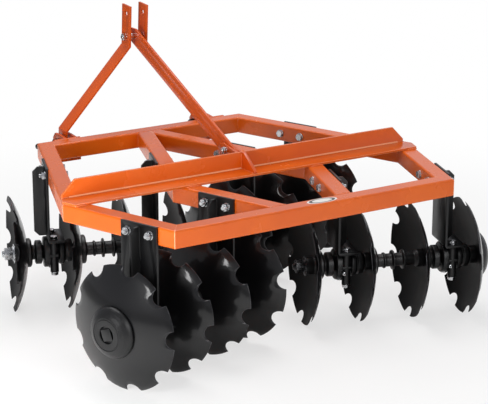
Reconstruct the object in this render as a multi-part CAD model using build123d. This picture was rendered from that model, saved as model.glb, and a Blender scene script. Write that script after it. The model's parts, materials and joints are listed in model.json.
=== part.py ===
"""Tandem disc harrow with notched discs and a three-point hitch.

Millimetres, +Z up, +Y forward (hitch side), +X to the right seen from behind.
The harrow stands on the rims of its discs, on the plane Z = 0.
Everything on the left side (X < 0) is drawn once and mirrored to the right.
"""
from build123d import *
from math import atan2, cos, degrees, hypot, pi, radians, sin, sqrt, tan
import os

os.makedirs("parts", exist_ok=True)

# DISCS AND GANGS
disc_dia = 406.0          # 16 inch disc, over the rim lands
disc_dish = 49.0          # depth of the dish, hub face to rim plane
disc_thick = 4.0
notch_count = 9
notch_radius = 30.0
notch_sink = 4.5          # notch centre outside the rim circle
pitch = 190.0             # disc to disc along the shaft
disc_count = 4            # per gang
gang_angle = 20.0         # gang shaft away from straight across
shaft_side = 25.0         # square shaft
shaft_fit = 0.25          # gap round the square shaft in every part threaded on it

# FRAME
tube = 60.0               # square tube, outside
tube_wall = 5.0
tube_round = 7.0          # rounded long edges
centre_gap = 47.8         # front gangs' inner ends from the middle plane, along X
front_length = 740.0      # from the side corners, where front and rear side beams meet, to the front face
rear_length = 436.0       # and to the rear face
axle_drop = 318.0         # frame top above the gang shafts
cross_leg = 92.0          # lying leg of the cross angle
cross_height = 66.0       # standing leg, from the frame top
cross_thick = 8.0
cross_front = 40.0        # front face of the standing leg, ahead of the side corners
cross_chamfer = 48.0
gusset_thick = 12.0

# GANG PLACES
front_station = 290.0     # front gang, from the front corner along the side beam
rear_station = 326.0      # rear gang, from the side corner along the side beam
front_hub = -77.0         # first disc hub face, along the shaft from the beam's outer face
rear_hub = -136.0
flange_dia, flange_len = 102.0, 16.0    # flanges of the spools and of the front gangs' inner ends
shaft_proud = 4.0         # square shaft beyond its end fitting
shaft_roll = 21.0         # square shafts turned about their own axes
# each disc's quarter turns on the square shaft, from the clamped end
quarter_turns = {"front_left": (2, 1, 3, 0), "front_right": (2, 1, 3, 0),
                 "rear_left": (3, 1, 1, 2), "rear_right": (0, 2, 1, 3)}
plate_thick = 8.0

# MAST AND HITCH
bar_width = 60.0
bar_thick = 8.0
mast_lean = 4.0           # the mast leans back
ear_gap = 61.0            # between the two ears
leg_spread = 298.0        # outer face of each leg foot from the centre
pin_ahead = 68.0          # lower hitch pin axis ahead of the front beam
pin_drop = 33.0           # and below the frame top
pin_dia = 22.0            # category 1 lower pin
pin_end = 404.0
ear_top = 495.0           # heights above the lower pin, along the leaning mast
top_hole_up = 464.0
ear_bolt_up = 376.0
upper_bend_up = 345.0
lower_bend_up = 51.0
foot_down = 30.0
top_hole_dia = 19.5       # category 1 top-link pin hole
mast_bolt = 16.0

disc_radius = disc_dia / 2
axle_z = disc_radius
top_z = axle_z + axle_drop
turn = radians(gang_angle)
pin_y = front_length + pin_ahead
front_reach = front_hub + (disc_count - 1) * pitch + flange_len + shaft_proud
# frame half width where front and rear side beams meet
half_mid = front_length * tan(turn) - front_station * sin(turn) + front_reach * cos(turn) + centre_gap
half_front = half_mid - front_length * tan(turn)
half_rear = half_mid - rear_length * tan(turn)
beam_step = 2 * pitch     # outer side beam to inner beam, square to the beams


def line_meet(p, d, q, e):
    """Point where the line through p along d crosses the line through q along e."""
    den = d[0] * e[1] - d[1] * e[0]
    s = ((q[0] - p[0]) * e[1] - (q[1] - p[1]) * e[0]) / den
    return (p[0] + s * d[0], p[1] + s * d[1])


def shift(p, d, s):
    return (p[0] + d[0] * s, p[1] + d[1] * s)


# plan of the left side
A = (-half_front, front_length)
F = (-half_mid, 0.0)
E = (-half_rear, -rear_length)
fore_dir = (-sin(turn), -cos(turn))      # A towards F
fore_in = (cos(turn), -sin(turn))        # square to it, inward
aft_dir = (sin(turn), -cos(turn))        # F towards E
aft_in = (cos(turn), sin(turn))
across = (1.0, 0.0)


def prism(points, z0, z1):
    face = make_face(Polyline([*points, points[0]]))
    return Pos(0, 0, z0) * extrude(face, z1 - z0)


def tube_along(start, direction, length):
    """Rounded square tube whose outer top edge runs from start along direction,
    the tube lying to the inward side, its top at top_z."""
    inward = (-direction[1], direction[0])
    if inward[0] < 0 or (inward[0] == 0 and start[1] > 0):
        inward = (-inward[0], -inward[1])
    mid = shift(start, inward, tube / 2)
    plane = Plane(origin=(mid[0], mid[1], top_z - tube / 2), x_dir=(inward[0], inward[1], 0),
                  z_dir=(direction[0], direction[1], 0))
    outside = plane * RectangleRounded(tube, tube, tube_round)
    inside = plane * Rectangle(tube - 2 * tube_wall, tube - 2 * tube_wall)
    return extrude(outside - inside, length)


def beam(corners, start, direction, length):
    """Tube along direction, its ends cut to the plan corners."""
    raw = tube_along(shift(start, direction, -200), direction, length + 400)
    return raw & prism(corners, top_z - tube - 1, top_z + 1)


def across_beam(y_outer, y_inner, corners):
    mid = (y_outer + y_inner) / 2
    plane = Plane(origin=(-half_mid, mid, top_z - tube / 2), x_dir=(0, 1, 0), z_dir=(1, 0, 0))
    section = plane * RectangleRounded(tube, tube, tube_round)
    section -= plane * Rectangle(tube - 2 * tube_wall, tube - 2 * tube_wall)
    return extrude(section, 2 * half_mid) & prism(corners, top_z - tube - 1, top_z + 1)


def mirrored(shape):
    return mirror(shape, about=Plane.YZ)


def group(shapes):
    """One node of several solids that don't touch."""
    return Compound([solid for shape in shapes for solid in shape.solids()])


front_in_y = front_length - tube
rear_in_y = -rear_length + tube
A_in = line_meet(shift(A, fore_in, tube), fore_dir, (0, front_in_y), across)
F_in = line_meet(shift(A, fore_in, tube), fore_dir, shift(E, aft_in, tube), aft_dir)
E_in = line_meet(shift(E, aft_in, tube), aft_dir, (0, rear_in_y), across)

flip = lambda p: (-p[0], p[1])
nodes = {}
nodes["front_beam"] = across_beam(front_length, front_in_y, [A, flip(A), flip(A_in), A_in])
nodes["rear_beam"] = across_beam(-rear_length, rear_in_y, [E, flip(E), flip(E_in), E_in])
nodes["side_beam_front_left"] = beam([A, F, F_in, A_in], A, fore_dir, hypot(A[0] - F[0], A[1] - F[1]))
nodes["side_beam_rear_left"] = beam([F, E, E_in, F_in], F, aft_dir, hypot(E[0] - F[0], E[1] - F[1]))

# inner beams, parallel to the side beams, meeting under the cross angle
V = (-(half_mid - beam_step / cos(turn)), 0.0)
G = line_meet(V, fore_dir, (0, front_in_y), across)
G_in = line_meet(shift(V, fore_in, tube), fore_dir, (0, 0), (0, 1))
V_in = line_meet(shift(V, fore_in, tube), fore_dir, shift(V, aft_in, tube), aft_dir)
H = line_meet(V, aft_dir, (0, rear_in_y), across)
H_in = line_meet(shift(V, aft_in, tube), aft_dir, (0, rear_in_y), across)
nodes["inner_beam_front_left"] = beam([G, V, V_in, G_in, (0, front_in_y)], G, fore_dir,
                                      hypot(G[0] - V[0], G[1] - V[1]))
nodes["inner_beam_rear_left"] = beam([V, H, H_in, V_in], V, aft_dir, hypot(H[0] - V[0], H[1] - V[1]))

# cross angle over the side corners
lie = [line_meet(A, fore_dir, (0, cross_front), across), F,
       line_meet(F, aft_dir, (0, cross_front - cross_leg), across)]
plan = lie + [flip(p) for p in reversed(lie)]
end_x = -lie[0][0]
stand = [(-end_x, 0), (end_x, 0), (end_x, cross_height - cross_chamfer),
         (end_x - cross_chamfer, cross_height), (-end_x + cross_chamfer, cross_height),
         (-end_x, cross_height - cross_chamfer)]
stand_plane = Plane(origin=(0, cross_front, top_z), x_dir=(1, 0, 0), z_dir=(0, -1, 0))
nodes["cross_angle"] = prism(plan, top_z, top_z + cross_thick) + extrude(
    stand_plane * make_face(Polyline([*stand, stand[0]])), cross_thick)
side_plane = Plane(origin=(0, 0, top_z), x_dir=(0, 1, 0), z_dir=(1, 0, 0))
gusset = [(cross_front - cross_thick, cross_thick), (cross_front - cross_leg + 4, cross_thick),
          (cross_front - cross_leg + 4, cross_thick + 6), (cross_front - cross_thick - 14, cross_height - 1),
          (cross_front - cross_thick, cross_height - 1)]
cross_gusset = extrude(side_plane * make_face(Polyline([*gusset, gusset[0]])),
                                gusset_thick / 2, both=True)

# GANGS
hub_flat = 52.0           # radius of the disc's flat seat
dish_centre = ((disc_radius ** 2 + disc_dish ** 2) - hub_flat ** 2) / (2 * disc_dish)
dish_sphere = hypot(dish_centre, hub_flat)
neck_dia, journal_dia = 50.0, 46.0
ring_dia, ring_start, ring_len = 84.0, 28.0, 24.0
housing_start, housing_len = 57.0, 101.0
collar_dia, collar_gap = 62.0, 5.0
bore_fit = 0.1
column_at = 91.5          # vertical housing bolts, from the hub face
housing_half = 50.0       # foot underside above the shaft
column_low = 60.0         # lower ends of the bolt columns, under the shaft


def dish_x(r, depth=0.0):
    """Where the disc's rounded side (or a shell under it) is at radius r."""
    return sqrt((dish_sphere - depth) ** 2 - r ** 2) - dish_centre


def notched_disc():
    """Dished disc on the X axis: flat seat at X = 0, rim plane at X = -disc_dish,
    the hollow side towards -X. One notch is level with the middle of a side of the square hole."""
    t, mid = disc_thick, (hub_flat + disc_radius) / 2
    seat_in = sqrt((dish_sphere - t) ** 2 - (dish_centre - t) ** 2)
    rim_out, rim_in = (dish_x(disc_radius), disc_radius), (dish_x(disc_radius, t), disc_radius)
    edge = Polyline([(-t, 0), (0, 0), (0, hub_flat)])
    edge += ThreePointArc((0, hub_flat), (dish_x(mid), mid), rim_out)
    edge += Line(rim_out, rim_in)
    edge += ThreePointArc(rim_in, (dish_x(mid, t), mid), (-t, seat_in))
    edge += Line((-t, seat_in), (-t, 0))
    disc = revolve(make_face(edge), Axis.X)
    cuts = []
    for i in range(notch_count):
        a = radians(360 * i / notch_count)
        r = disc_radius + notch_sink
        cuts.append(Pos(-disc_dish / 2, r * cos(a), r * sin(a)) * Rot(0, 90, 0) * Cylinder(
            notch_radius, disc_dish + 20))
    hole = shaft_side + 2 * shaft_fit
    return disc - cuts - Box(3 * disc_dish, hole, hole)


def on_shaft(profile):
    """Turned part threaded on the square shaft, profile as (x, radius) corners."""
    pts = [(profile[0][0], 0), *profile, (profile[-1][0], 0)]
    body = revolve(make_face(Polyline([*pts, pts[0]])), Axis.X)
    hole = shaft_side + 2 * shaft_fit
    return body - Rot(shaft_roll, 0, 0) * Box(4000, hole, hole)


def bearing_spool():
    """Flange against a disc's rounded side, ring, journal and collar, from X = 0 on."""
    end = pitch - disc_thick
    h = housing_start
    f, n, r, ring_end = flange_dia / 2, neck_dia / 2, ring_dia / 2, ring_start + ring_len
    journal_end = h + housing_len + collar_gap
    return on_shaft([
        (0, f - 3), (3, f), (flange_len - 4, f), (flange_len, f - 6), (flange_len, n),
        (ring_start, n), (ring_start, r - 3), (ring_start + 3, r), (ring_end - 3, r), (ring_end, r - 3),
        (ring_end, n), (h - 4, n), (h - 4, journal_dia / 2),
        (journal_end, journal_dia / 2), (journal_end, collar_dia / 2), (end, collar_dia / 2)])


def plain_spool():
    end = pitch - disc_thick
    body = neck_dia / 2 - 2
    ribs = [(47, 55, 7), (78, 68, 8), (115, 68, 8)]       # place, diameter, width
    pts = [(0, flange_dia / 2 - 3), (3, flange_dia / 2), (flange_len, flange_dia / 2), (flange_len, body)]
    for at, dia, wide in ribs:
        pts += [(at - wide / 2, body), (at - wide / 2, dia / 2), (at + wide / 2, dia / 2), (at + wide / 2, body)]
    pts += [(end - 30, body), (end - 22, collar_dia / 2), (end, collar_dia / 2)]
    return on_shaft(pts)


def housing():
    """Bearing housing of lobes round the journal, with a boss each side for its bolts."""
    s = housing_start
    lobes = [(s, 108, 24), (s + 54, 94, 18), (s + 80, 80, 21)]    # start, diameter, width
    mid_z = (housing_half - column_low) / 2
    body = Pos(s + housing_len / 2, 0, 0) * Rot(0, 90, 0) * Cylinder(33, housing_len)
    for at, dia, wide in lobes:
        body += Pos(at + wide / 2, 0, 0) * Rot(0, 90, 0) * Cylinder(dia / 2, wide)
    body += Pos(column_at, 0, 0) * Box(26, 92, 60)
    for side in (-1, 1):
        body += Pos(column_at, side * bolt_half, mid_z) * Cylinder(15, housing_half + column_low)
    body &= Pos(s + housing_len / 2, 0, mid_z) * Box(housing_len, 300, housing_half + column_low)
    body -= Rot(0, 90, 0) * Cylinder(journal_dia / 2 + bore_fit, 2000)
    for side in (-1, 1):
        body -= Pos(column_at, side * bolt_half, 0) * Cylinder(bolt_dia / 2 + 0.25, 400)
    return body


bolt_half = 42.0
bolt_dia = 16.0
plate_wide = 145.0
bend_out, bend_in = 12.0, 0.6          # radii of the bend from plate to foot
rib_deep, rib_thick, rib_cut = 40.0, 8.0, 17.0
rib_top, rib_low = 9.0, 257.0          # ends of the rib below the frame top
plate_high = axle_drop - housing_half
bolt_row, bolt_apart = 30.0, 90.0      # hanger bolts: below the frame top, and apart


def hanger(outward, foot_len):
    """Hanger: a plate against the beam face at X = 0, bent at its lower end into a foot that points to -X
    (outward = True) or +X, with a rib on its outer side. Z = 0 is the frame top, Y runs along the beam."""
    x = (lambda u: -u) if outward else (lambda u: u - plate_thick)
    low, up, q = -plate_high, -plate_high + plate_thick, 1 - sqrt(0.5)
    bent = Polyline([(x(bend_out), low), (x(foot_len), low), (x(foot_len), up), (x(plate_thick + bend_in), up)])
    bent += ThreePointArc((x(plate_thick + bend_in), up), (x(plate_thick + bend_in * q), up + bend_in * q),
                          (x(plate_thick), up + bend_in))
    bent += Polyline([(x(plate_thick), up + bend_in), (x(plate_thick), 0), (x(0), 0), (x(0), low + bend_out)])
    bent += ThreePointArc((x(0), low + bend_out), (x(bend_out * q), low + bend_out * q), (x(bend_out), low))
    plate = extrude(Plane.XZ * make_face(bent), plate_wide / 2, both=True)
    d0, d1 = -plate_thick, -plate_thick - rib_deep
    c = rib_cut
    rib_line = [(d0, -rib_top), (d1 + c, -rib_top), (d1, -rib_top - c),
                (d1, -rib_low + c), (d1 + c, -rib_low), (d0, -rib_low)]
    rib = extrude(Plane.XZ * make_face(Polyline([*rib_line, rib_line[0]])), rib_thick / 2, both=True)
    body = plate + rib
    for side in (-1, 1):
        body -= Pos(0, side * bolt_apart / 2, -bolt_row) * Rot(0, 90, 0) * Cylinder(bolt_dia / 2 + 0.25, 40)
    return body


def hex_bolt(dia, grip, end=2.0):
    """Hexagon bolt along Z: head on top of Z = grip, nut under Z = 0, and its end past the nut."""
    af = 1.5 * dia
    stick = 0.8 * dia + end
    shank = Pos(0, 0, (grip - stick) / 2) * Cylinder(dia / 2, grip + stick)
    head = Pos(0, 0, grip) * extrude(RegularPolygon(af / 2, 6, major_radius=False), 0.64 * dia)
    nut = Pos(0, 0, -0.8 * dia) * extrude(RegularPolygon(af / 2, 6, major_radius=False), 0.8 * dia)
    return shank + head + nut


end_boss_len, end_boss_dia = 38.0, 62.0
washer_len, washer_dia = 7.0, 68.0
nut_len, nut_af = 30.0, 41.0
bell_len, bell_dia = 30.0, 168.0
head_side, head_len = 38.0, 9.0        # square head of the rear shafts, in a round seat of the bell


def clamp_end():
    """Clamp boss, washer and nut against a disc's hollow side, towards -X from X = 0."""
    x = -end_boss_len
    boss = on_shaft([(x, end_boss_dia / 2 - 3), (x + 3, end_boss_dia / 2), (0, end_boss_dia / 2)])
    washer = Pos(x - washer_len / 2, 0, 0) * Rot(0, 90, 0) * Cylinder(washer_dia / 2, washer_len)
    washer -= Rot(0, 90, 0) * Cylinder(thread_dia / 2 + 0.2, 600)
    nut = Pos(x - washer_len - nut_len, 0, 0) * Rot(0, 90, 0) * extrude(
        RegularPolygon(nut_af / 2, 6, major_radius=False), nut_len)
    nut -= Rot(0, 90, 0) * Cylinder(thread_dia / 2 + 0.2, 600)
    return boss + washer + nut


def end_bell():
    """Domed end casting against a disc's rounded side, towards +X from X = 0."""
    r = bell_dia / 2
    lip = dish_x(r - 2) + 1.0
    bell = on_shaft([(0, hub_flat - 6), (0.5, hub_flat), (lip, r - 2), (lip + 2, r), (8, r), (14, r - 4),
                     (bell_len - 6, r - 18), (bell_len - 1, r - 28), (bell_len, 51)])
    return bell - Pos(bell_len, 0, 0) * Rot(0, 90, 0) * Cylinder(head_side * sqrt(0.5) + 0.5, 2 * head_len)


def end_plate():
    return on_shaft([(0, flange_dia / 2), (flange_len, flange_dia / 2)])


thread_dia = 24.0
shaft_tail = 8.0

gang_stations = {
    "front": (shift(A, fore_dir, front_station), -gang_angle, front_hub),
    "rear": (shift(F, aft_dir, rear_station), gang_angle, rear_hub),
}


def place(gang):
    (x, y), angle, _ = gang_stations[gang]
    return Pos(x, y, axle_z) * Rot(0, 0, angle)


def station(gang, i):
    """Hub face of a disc, counted from the clamped end, with X towards the rounded sides.
    Front gangs: hollow sides to -X, clamped at the outer end. Rear gangs are turned end for end."""
    hub = gang_stations[gang][2]
    if gang == "front":
        return Pos(hub + i * pitch, 0, 0)
    return Pos(hub + (disc_count - 1 - i) * pitch, 0, 0) * Rot(0, 0, 180)


def disc_row(gang, side):
    """The discs of one gang, drawn on the left, each at its own quarter turn on the square shaft."""
    one = notched_disc()
    return group([place(gang) * station(gang, i) * Rot(shaft_roll + 90 * turns, 0, 0) * one
                  for i, turns in enumerate(quarter_turns[gang + "_" + side])])


def gang_parts(gang):
    """The other parts of one left gang, and its housings."""
    spools, houses = [], []
    for i in range(disc_count):
        at = station(gang, i)
        if i in (0, 2):
            spools.append(at * bearing_spool())
            houses.append(at * housing())
        elif i == 1:
            spools.append(at * plain_spool())
    base = station(gang, 0)
    tail_x = -disc_thick - end_boss_len - washer_len - nut_len - shaft_tail
    far = (disc_count - 1) * pitch
    end_x = far + (bell_len - head_len if gang == "rear" else flange_len + shaft_proud)
    start_x = -disc_thick - end_boss_len
    square = Pos((end_x + start_x) / 2, 0, 0) * Box(end_x - start_x, shaft_side, shaft_side)
    if gang == "rear":
        square += Pos(end_x + (head_len - 1) / 2, 0, 0) * Box(head_len - 1, head_side, head_side)
    square = Rot(shaft_roll, 0, 0) * square
    thread = Pos((tail_x - disc_thick - end_boss_len) / 2, 0, 0) * Rot(0, 90, 0) * Cylinder(
        thread_dia / 2, -tail_x - disc_thick - end_boss_len)
    shaft = base * (square + thread)
    clamp = base * Pos(-disc_thick, 0, 0)
    ender = base * Pos(far, 0, 0) * (end_bell() if gang == "rear" else end_plate())
    where = place(gang)
    return {
        "shaft": where * shaft,
        "spools": [where * s for s in spools],
        "ends": [where * clamp * clamp_end(), where * ender],
        "housings": [where * h for h in houses],
    }


def column_x(gang):
    hub = gang_stations[gang][2]
    if gang == "front":
        return [hub + column_at, hub + 2 * pitch + column_at]
    last = hub + pitch * (disc_count - 1)
    return [last - 2 * pitch - column_at, last - column_at]


foot_front, foot_rear = 58.0, 75.0      # feet, from the plate's far side
bolts = []
for gang in ("front", "rear"):
    parts = gang_parts(gang)
    where = place(gang)
    tag = gang + "_left"
    nodes["shaft_" + tag] = parts["shaft"]
    nodes["discs_" + tag] = disc_row(gang, "left")
    nodes["spools_" + tag] = group(parts["spools"])
    nodes["end_fittings_" + tag] = group(parts["ends"])
    up = Pos(0, 0, axle_drop)
    holes = [Pos(x, side * bolt_half, 0) * Cylinder(bolt_dia / 2 + 0.25, 700)
             for x in column_x(gang) for side in (-1, 1)]
    hangers = []
    for step in (0, beam_step):
        body = up * Pos(step, 0, 0) * hanger(gang == "rear", foot_rear if gang == "rear" else foot_front)
        for h in holes:
            body -= h
        hangers.append(where * body)
        for side in (-1, 1):
            b = hex_bolt(bolt_dia, plate_thick + tube, end=9)
            bolts.append(where * up * Pos(step - plate_thick, side * bolt_apart / 2, -bolt_row) * Rot(0, 90, 0) * b)
    for x in column_x(gang):
        for side in (-1, 1):
            b = hex_bolt(bolt_dia, housing_half + plate_thick + column_low)
            bolts.append(where * Pos(x, side * bolt_half, -column_low) * b)
    nodes["hangers_" + tag] = group(hangers)
    nodes["bearing_housings_" + tag] = group(parts["housings"])

# MAST
mast_plane = Plane(origin=(0, pin_y, top_z - pin_drop), x_dir=(1, 0, 0),
                   z_dir=(0, -cos(radians(mast_lean)), -sin(radians(mast_lean))))
x_ear = ear_gap / 2
x_foot = leg_spread - bar_thick
run, rise = leg_spread - (x_ear + bar_thick), upper_bend_up - lower_bend_up
half_turn = atan2(run, rise) / 2
gain = bar_thick * tan(half_turn)
leg_line = [(-x_ear, ear_top), (-x_ear - bar_thick, ear_top), (-x_ear - bar_thick, upper_bend_up),
            (-leg_spread, lower_bend_up), (-leg_spread, -foot_down), (-x_foot, -foot_down),
            (-x_foot, lower_bend_up - gain), (-x_ear, upper_bend_up - gain)]
leg = extrude(mast_plane * make_face(Polyline([*leg_line, leg_line[0]])), bar_width / 2, both=True)


def mast_hole(up, dia, length=900):
    y, z = mast_point(up)
    return Pos(0, y, z) * Rot(0, 90, 0) * Cylinder(dia / 2, length)


def mast_point(up):
    a = radians(mast_lean)
    return pin_y - up * sin(a), top_z - pin_drop + up * cos(a)


leg -= mast_hole(top_hole_up, top_hole_dia)
leg -= mast_hole(ear_bolt_up, mast_bolt + 0.5)
leg -= mast_hole(0, pin_dia + 0.5)
nodes["mast_leg_left"] = leg

# brace: flat bar on edge from the ears down to the cross angle, its upper end cut level
brace_crown = 27.0        # level end above the ear bolt
spacer_dia = 22.0
bolt_y, bolt_z = mast_point(ear_bolt_up)
foot_y, foot_z = 125.0, top_z + 52.0
slope = atan2(bolt_z - foot_z, bolt_y - foot_y)
length = hypot(bolt_z - foot_z, bolt_y - foot_y)
bar = Pos(0, foot_y, foot_z) * Rot(degrees(slope), 0, 0) * Pos(0, length / 2, 0) * Box(
    bar_thick, length + 300, bar_width)
bar &= Pos(0, (cross_front + 4 + bolt_y + 26) / 2, (foot_z + bolt_z) / 2) * Box(
    20, bolt_y + 26 - cross_front - 4, 2000)
bar &= Pos(0, 0, (top_z + 6 + bolt_z + brace_crown) / 2) * Box(20, 4000, bolt_z + brace_crown - top_z - 6)
bar -= mast_hole(ear_bolt_up, mast_bolt + 0.5)
bar -= Pos(0, foot_y, foot_z) * Rot(0, 90, 0) * Cylinder(mast_bolt / 2 + 0.25, 200)
nodes["mast_brace"] = bar

# lugs for the brace foot, on the front of the cross angle
lug_thick, lug_long, lug_high, lug_low = 8.0, 128.0, 76.0, 10.0
lug_line = [(cross_front, lug_low), (cross_front, cross_height - 10), (cross_front + lug_long - 28, lug_high),
            (cross_front + lug_long, lug_high - 16), (cross_front + lug_long, lug_low)]
lugs = [Pos(side * (bar_thick / 2 + 1 + lug_thick / 2), 0, 0) * extrude(
    side_plane * make_face(Polyline([*lug_line, lug_line[0]])), lug_thick / 2, both=True) -
    Pos(0, foot_y, foot_z) * Rot(0, 90, 0) * Cylinder(mast_bolt / 2 + 0.25, 200) for side in (-1, 1)]
nodes["cross_angle_lugs"] = group([cross_gusset, *lugs])

# hitch brackets: back plate on the beam face, a cheek on each side of the mast leg
cheek_thick = 10.0
cheek_out, cheek_in = leg_spread + 2 * cheek_thick, leg_spread - 2 * cheek_thick
cheek_rise = 4.0          # over the beam top
back_thick = 10.0
back_low = 86.0
back_out, back_in = cheek_out + 45, cheek_in - 22
nose = pin_y + 34
collar_wide, collar_long = 38.0, 13.0
cheek_line = [(front_length, 0), (pin_y - 23, cheek_rise), (nose - 16, cheek_rise), (nose, cheek_rise - 19),
              (nose, -pin_drop - 14), (nose - 16, -pin_drop - 30), (front_length + back_thick, -back_low),
              (front_length, -back_low)]
cheek = extrude(side_plane * make_face(Polyline([*cheek_line, cheek_line[0]])), cheek_thick / 2, both=True)
bracket = Pos(-(back_out + back_in) / 2, front_length + back_thick / 2, top_z - back_low / 2) * Box(
    back_out - back_in, back_thick, back_low)
for x in (cheek_out, cheek_in):
    bracket += Pos(-x + cheek_thick / 2, 0, 0) * cheek
bracket -= mast_hole(0, pin_dia + 0.5)
nodes["hitch_bracket_left"] = bracket

# lower hitch pin: plain outer end, collar, shank through cheeks and leg, nut inside
pin_pos = Pos(0, pin_y, top_z - pin_drop) * Rot(0, 90, 0)


def pin_piece(x0, x1, dia):
    return Pos((x0 + x1) / 2, pin_y, top_z - pin_drop) * Rot(0, 90, 0) * Cylinder(dia / 2, x1 - x0)


pin = pin_piece(-pin_end, -cheek_in + cheek_thick + 30, pin_dia)
pin += pin_piece(-cheek_out - collar_long, -cheek_out, collar_wide)
pin += Pos(-cheek_in + cheek_thick, pin_y, top_z - pin_drop) * Rot(0, 90, 0) * extrude(
    RegularPolygon(17, 6, major_radius=False), 18)
nodes["lower_pin_left"] = pin

# fasteners of the mast
half_grip = x_ear + bar_thick
ear_bolt = Pos(-half_grip, bolt_y, bolt_z) * Rot(0, 90, 0) * hex_bolt(mast_bolt, 2 * half_grip)
spacers = [Pos(side * (bar_thick / 2 + x_ear) / 2, bolt_y, bolt_z) * Rot(0, 90, 0) * (
    Cylinder(spacer_dia / 2, x_ear - bar_thick / 2) - Cylinder(mast_bolt / 2, 200)) for side in (-1, 1)]
ear_bolt = ear_bolt + spacers[0] + spacers[1]
foot_grip = bar_thick / 2 + 1 + lug_thick
foot_bolt = Pos(-foot_grip, foot_y, foot_z) * Rot(0, 90, 0) * hex_bolt(mast_bolt, 2 * foot_grip)
nodes["mast_bolts"] = group([ear_bolt, foot_bolt])
nodes["hanger_bolts"] = group(bolts + [mirrored(b) for b in bolts])

# holes for the hanger bolts through the beam walls
for name, steps in (("side_beam_front_left", ("front", 0)), ("side_beam_rear_left", ("rear", 0)),
                    ("inner_beam_front_left", ("front", beam_step)), ("inner_beam_rear_left", ("rear", beam_step))):
    gang, step = steps
    for side in (-1, 1):
        nodes[name] -= place(gang) * Pos(step + tube / 2, side * bolt_apart / 2, axle_drop - bolt_row) * Rot(
            0, 90, 0) * Cylinder(bolt_dia / 2 + 0.25, tube + 4)

for name in [n for n in nodes if n.endswith("_left")]:
    nodes[name[:-5] + "_right"] = mirrored(nodes[name])
for gang in gang_stations:
    nodes["discs_" + gang + "_right"] = mirrored(disc_row(gang, "right"))

# PLACE AND WRITE
boxes = [shape.bounding_box() for shape in nodes.values()]
low_y, high_y = min(b.min.Y for b in boxes), max(b.max.Y for b in boxes)
move_y = -(low_y + high_y) / 2
for name, shape in nodes.items():
    placed = group([shape]).moved(Location((0, move_y, 0)))
    placed.label = name
    export_step(placed, "parts/" + name + ".step")

print("nodes", len(nodes), "length", high_y - low_y, "width", 2 * max(b.max.X for b in boxes),
      "height", max(b.max.Z for b in boxes), "lowest", min(b.min.Z for b in boxes))
for gang in gang_stations:
    (x, y), angle, _ = gang_stations[gang]
    print(gang, "left gang axis through", round(x, 3), round(y + move_y, 3), axle_z,
          "along", round(cos(radians(angle)), 6), round(sin(radians(angle)), 6))
print("lower pins at y", round(pin_y + move_y, 3), "z", top_z - pin_drop, "top hole",
      [round(v, 3) for v in (mast_point(top_hole_up)[0] + move_y, mast_point(top_hole_up)[1])])
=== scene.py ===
# %% [markdown]
# # A tandem disc harrow, dressed for its portrait
# The frame of square tube, the mast and the hangers come from the CAD model, which fixes every size. This file
# gives each of them its paint, eases the edges of the flat ones, and rebuilds the turned, cast and pressed parts
# in finer mesh: the notched discs, the ribbed spools, the bearing housings, the domed ends, the pins, the bolts.
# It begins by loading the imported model, so that everything made later can ride on its bodies.

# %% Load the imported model
import bpy, bmesh, json
import numpy as np
from math import radians, cos, sin, tan, pi
from mathutils import Matrix, Vector


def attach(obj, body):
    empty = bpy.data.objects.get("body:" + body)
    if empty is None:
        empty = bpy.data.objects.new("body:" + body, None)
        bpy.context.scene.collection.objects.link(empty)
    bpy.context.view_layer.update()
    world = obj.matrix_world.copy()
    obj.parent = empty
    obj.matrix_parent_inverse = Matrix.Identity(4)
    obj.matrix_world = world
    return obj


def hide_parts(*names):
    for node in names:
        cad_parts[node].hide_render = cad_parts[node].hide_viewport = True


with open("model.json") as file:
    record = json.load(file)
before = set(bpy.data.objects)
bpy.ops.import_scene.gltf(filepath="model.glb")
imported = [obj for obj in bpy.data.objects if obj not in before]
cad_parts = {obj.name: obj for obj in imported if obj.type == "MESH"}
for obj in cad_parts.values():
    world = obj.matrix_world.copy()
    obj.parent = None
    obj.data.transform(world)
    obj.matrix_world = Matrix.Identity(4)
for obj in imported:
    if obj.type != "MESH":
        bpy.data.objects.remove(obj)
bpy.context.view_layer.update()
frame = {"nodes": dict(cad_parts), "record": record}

show_in_scene = bpy.context.scene.collection.objects.link
print("nodes:", len(frame["nodes"]))

# %% [markdown]
# ## Sizes shared with the CAD model
# A harrow is laid out from a few sizes: the disc's diameter and dish, the step between discs, and the slant of
# the gangs. They are written once here, in metres. The places of the gangs and of the link pins come from the
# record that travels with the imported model, so they can't drift from it. The right side is the mirror image, so
# a piece is worked out on the left and its x is turned round.

# %% Sizes and gang places
MM = 0.001
disc_r, dish, disc_t = 203 * MM, 49 * MM, 4 * MM
notches, notch_r, notch_sink = 9, 30 * MM, 4.5 * MM
pitch, discs_per_gang = 190 * MM, 4
axle_z, top_z = 203 * MM, 521 * MM
hub_flat = 52 * MM
slant_deg = 20                      # of the gangs and of the side and inner beams
column_at = 91.5 * MM               # middle of a housing's bolt columns, from the disc's hub
housing_up, housing_down = 50 * MM, 60 * MM
beam_step, tube, plate = 380 * MM, 60 * MM, 8 * MM
front_length, rear_length, half_mid = 740 * MM, 436 * MM, 700 * MM

# the square shafts are turned about their own line, and each disc sits on its shaft at its own quarter turn
shaft_roll = 21                     # degrees
quarter_turns = {"front_left": (2, 1, 3, 0), "front_right": (2, 1, 3, 0),
                 "rear_left": (3, 1, 1, 2), "rear_right": (0, 2, 1, 3)}

joint_at = {j["name"]: j["pos_m"] for j in frame["record"]["behaviour"]["joints"]}
mount_at = {m["name"]: m["pos_m"] for m in frame["record"]["mounts"]}
pin_y, pin_z = mount_at["lower_link_left"][1:]
shift_y = pin_y - 808 * MM          # the pins stand 808 mm ahead of the side corners
print("pins at", pin_y, pin_z, "side corners at y", round(shift_y, 6))

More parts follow.
